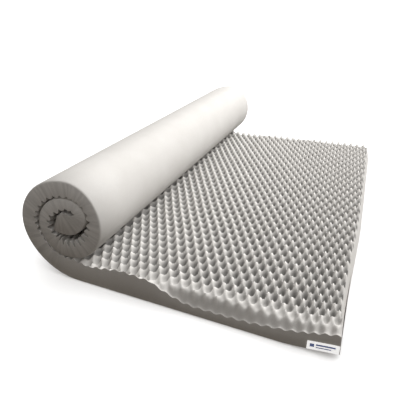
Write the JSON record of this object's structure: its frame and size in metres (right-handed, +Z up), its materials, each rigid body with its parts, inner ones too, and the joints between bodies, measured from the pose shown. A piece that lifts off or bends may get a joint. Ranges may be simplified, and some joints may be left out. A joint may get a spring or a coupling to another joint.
{
  "type": "pressure relief mattress",
  "caption": "Convoluted egg-crate foam mattress topper, part of it lying flat with peaks up and the rest wound into a roll with its smooth back outside.",
  "frame": {"origin": "on the floor, under the middle of the whole object's box as it lies partly unrolled", "axes": "+X from the roll towards the free end of the flat length, +Y across the width along the roll, +Z up"},
  "size_m": [0.8112, 1.201, 0.2849],
  "materials": {
    "foam": "matte open-cell polyurethane foam, cut faces",
    "label": "white woven satin",
    "adhesive": "clear dull film"
  },
  "bodies": {
    "flat_section": {"flat_section": "foam", "label": "label", "label_adhesive": "adhesive"},
    "rolled_strip_01": {"rolled_strip_01": "foam"},
    "rolled_strip_02": {"rolled_strip_02": "foam"},
    "rolled_strip_03": {"rolled_strip_03": "foam"},
    "rolled_strip_04": {"rolled_strip_04": "foam"},
    "rolled_strip_05": {"rolled_strip_05": "foam"},
    "rolled_strip_06": {"rolled_strip_06": "foam"},
    "rolled_strip_07": {"rolled_strip_07": "foam"},
    "rolled_strip_08": {"rolled_strip_08": "foam"},
    "rolled_strip_09": {"rolled_strip_09": "foam"},
    "rolled_strip_10": {"rolled_strip_10": "foam"},
    "rolled_strip_11": {"rolled_strip_11": "foam"},
    "rolled_strip_12": {"rolled_strip_12": "foam"},
    "rolled_strip_13": {"rolled_strip_13": "foam"},
    "rolled_strip_14": {"rolled_strip_14": "foam"},
    "rolled_strip_15": {"rolled_strip_15": "foam"},
    "rolled_strip_16": {"rolled_strip_16": "foam"},
    "rolled_strip_17": {"rolled_strip_17": "foam"},
    "rolled_strip_18": {"rolled_strip_18": "foam"},
    "rolled_strip_19": {"rolled_strip_19": "foam"},
    "rolled_strip_20": {"rolled_strip_20": "foam"},
    "rolled_strip_21": {"rolled_strip_21": "foam"},
    "rolled_strip_22": {"rolled_strip_22": "foam"},
    "rolled_strip_23": {"rolled_strip_23": "foam"},
    "rolled_strip_24": {"rolled_strip_24": "foam"}
  },
  "joints": [
    {"name": "unroll_01", "type": "hinge", "parent": "flat_section", "child": "rolled_strip_01", "pos_m": [-0.25104, 0, 0], "axis": [0, -1, 0], "range_deg": [0, 15]},
    {"name": "unroll_02", "type": "hinge", "parent": "rolled_strip_01", "child": "rolled_strip_02", "pos_m": [-0.33104, 0, 0.02144], "axis": [0, -1, 0], "range_deg": [0, 30]},
    {"name": "unroll_03", "type": "hinge", "parent": "rolled_strip_02", "child": "rolled_strip_03", "pos_m": [-0.3896, 0, 0.08], "axis": [0, -1, 0], "range_deg": [0, 30]},
    {"name": "unroll_04", "type": "hinge", "parent": "rolled_strip_03", "child": "rolled_strip_04", "pos_m": [-0.40568, 0, 0.14], "axis": [0, -1, 0], "range_deg": [0, 30]},
    {"name": "unroll_05", "type": "hinge", "parent": "rolled_strip_04", "child": "rolled_strip_05", "pos_m": [-0.3896, 0, 0.2], "axis": [0, -1, 0], "range_deg": [0, 30]},
    {"name": "unroll_06", "type": "hinge", "parent": "rolled_strip_05", "child": "rolled_strip_06", "pos_m": [-0.32737, 0, 0.26222], "axis": [0, -1, 0], "range_deg": [0, 30]},
    {"name": "unroll_07", "type": "hinge", "parent": "rolled_strip_06", "child": "rolled_strip_07", "pos_m": [-0.24237, 0, 0.285], "axis": [0, -1, 0], "range_deg": [0, 30]},
    {"name": "unroll_08", "type": "hinge", "parent": "rolled_strip_07", "child": "rolled_strip_08", "pos_m": [-0.19987, 0, 0.27361], "axis": [0, -1, 0], "range_deg": [0, 30]},
    {"name": "unroll_09", "type": "hinge", "parent": "rolled_strip_08", "child": "rolled_strip_09", "pos_m": [-0.16876, 0, 0.2425], "axis": [0, -1, 0], "range_deg": [0, 30]},
    {"name": "unroll_10", "type": "hinge", "parent": "rolled_strip_09", "child": "rolled_strip_10", "pos_m": [-0.15336, 0, 0.185], "axis": [0, -1, 0], "range_deg": [0, 30]},
    {"name": "unroll_11", "type": "hinge", "parent": "rolled_strip_10", "child": "rolled_strip_11", "pos_m": [-0.16876, 0, 0.1275], "axis": [0, -1, 0], "range_deg": [0, 30]},
    {"name": "unroll_12", "type": "hinge", "parent": "rolled_strip_11", "child": "rolled_strip_12", "pos_m": [-0.21269, 0, 0.08358], "axis": [0, -1, 0], "range_deg": [0, 30]},
    {"name": "unroll_13", "type": "hinge", "parent": "rolled_strip_12", "child": "rolled_strip_13", "pos_m": [-0.27269, 0, 0.0675], "axis": [0, -1, 0], "range_deg": [0, 30]},
    {"name": "unroll_14", "type": "hinge", "parent": "rolled_strip_13", "child": "rolled_strip_14", "pos_m": [-0.31019, 0, 0.07755], "axis": [0, -1, 0], "range_deg": [0, 30]},
    {"name": "unroll_15", "type": "hinge", "parent": "rolled_strip_14", "child": "rolled_strip_15", "pos_m": [-0.33764, 0, 0.105], "axis": [0, -1, 0], "range_deg": [0, 30]},
    {"name": "unroll_16", "type": "hinge", "parent": "rolled_strip_15", "child": "rolled_strip_16", "pos_m": [-0.34836, 0, 0.145], "axis": [0, -1, 0], "range_deg": [0, 30]},
    {"name": "unroll", "type": "hinge", "parent": "rolled_strip_16", "child": "rolled_strip_17", "pos_m": [-0.33764, 0, 0.185], "axis": [0, -1, 0], "range_deg": [0, 30]},
    {"name": "unroll_18", "type": "hinge", "parent": "rolled_strip_17", "child": "rolled_strip_18", "pos_m": [-0.29737, 0, 0.22526], "axis": [0, -1, 0], "range_deg": [0, 30]},
    {"name": "unroll_19", "type": "hinge", "parent": "rolled_strip_18", "child": "rolled_strip_19", "pos_m": [-0.24237, 0, 0.24], "axis": [0, -1, 0], "range_deg": [0, 30]},
    {"name": "unroll_20", "type": "hinge", "parent": "rolled_strip_19", "child": "rolled_strip_20", "pos_m": [-0.21737, 0, 0.2333], "axis": [0, -1, 0], "range_deg": [0, 30]},
    {"name": "unroll_21", "type": "hinge", "parent": "rolled_strip_20", "child": "rolled_strip_21", "pos_m": [-0.19907, 0, 0.215], "axis": [0, -1, 0], "range_deg": [0, 30]},
    {"name": "unroll_22", "type": "hinge", "parent": "rolled_strip_21", "child": "rolled_strip_22", "pos_m": [-0.19438, 0, 0.1975], "axis": [0, -1, 0], "range_deg": [0, 30]},
    {"name": "unroll_23", "type": "hinge", "parent": "rolled_strip_22", "child": "rolled_strip_23", "pos_m": [-0.19907, 0, 0.18], "axis": [0, -1, 0], "range_deg": [0, 30]},
    {"name": "unroll_24", "type": "hinge", "parent": "rolled_strip_23", "child": "rolled_strip_24", "pos_m": [-0.24117, 0, 0.13791], "axis": [0, -1, 0], "range_deg": [0, 30]}
  ],
  "couplings": [
    {"joint": "unroll_01", "follows": "unroll", "ratio": 0.5},
    {"joint": "unroll_02", "follows": "unroll", "ratio": 1},
    {"joint": "unroll_03", "follows": "unroll", "ratio": 1},
    {"joint": "unroll_04", "follows": "unroll", "ratio": 1},
    {"joint": "unroll_05", "follows": "unroll", "ratio": 1},
    {"joint": "unroll_06", "follows": "unroll", "ratio": 1},
    {"joint": "unroll_07", "follows": "unroll", "ratio": 1},
    {"joint": "unroll_08", "follows": "unroll", "ratio": 1},
    {"joint": "unroll_09", "follows": "unroll", "ratio": 1},
    {"joint": "unroll_10", "follows": "unroll", "ratio": 1},
    {"joint": "unroll_11", "follows": "unroll", "ratio": 1},
    {"joint": "unroll_12", "follows": "unroll", "ratio": 1},
    {"joint": "unroll_13", "follows": "unroll", "ratio": 1},
    {"joint": "unroll_14", "follows": "unroll", "ratio": 1},
    {"joint": "unroll_15", "follows": "unroll", "ratio": 1},
    {"joint": "unroll_16", "follows": "unroll", "ratio": 1},
    {"joint": "unroll_18", "follows": "unroll", "ratio": 1},
    {"joint": "unroll_19", "follows": "unroll", "ratio": 1},
    {"joint": "unroll_20", "follows": "unroll", "ratio": 1},
    {"joint": "unroll_21", "follows": "unroll", "ratio": 1},
    {"joint": "unroll_22", "follows": "unroll", "ratio": 1},
    {"joint": "unroll_23", "follows": "unroll", "ratio": 1},
    {"joint": "unroll_24", "follows": "unroll", "ratio": 1}
  ]
}
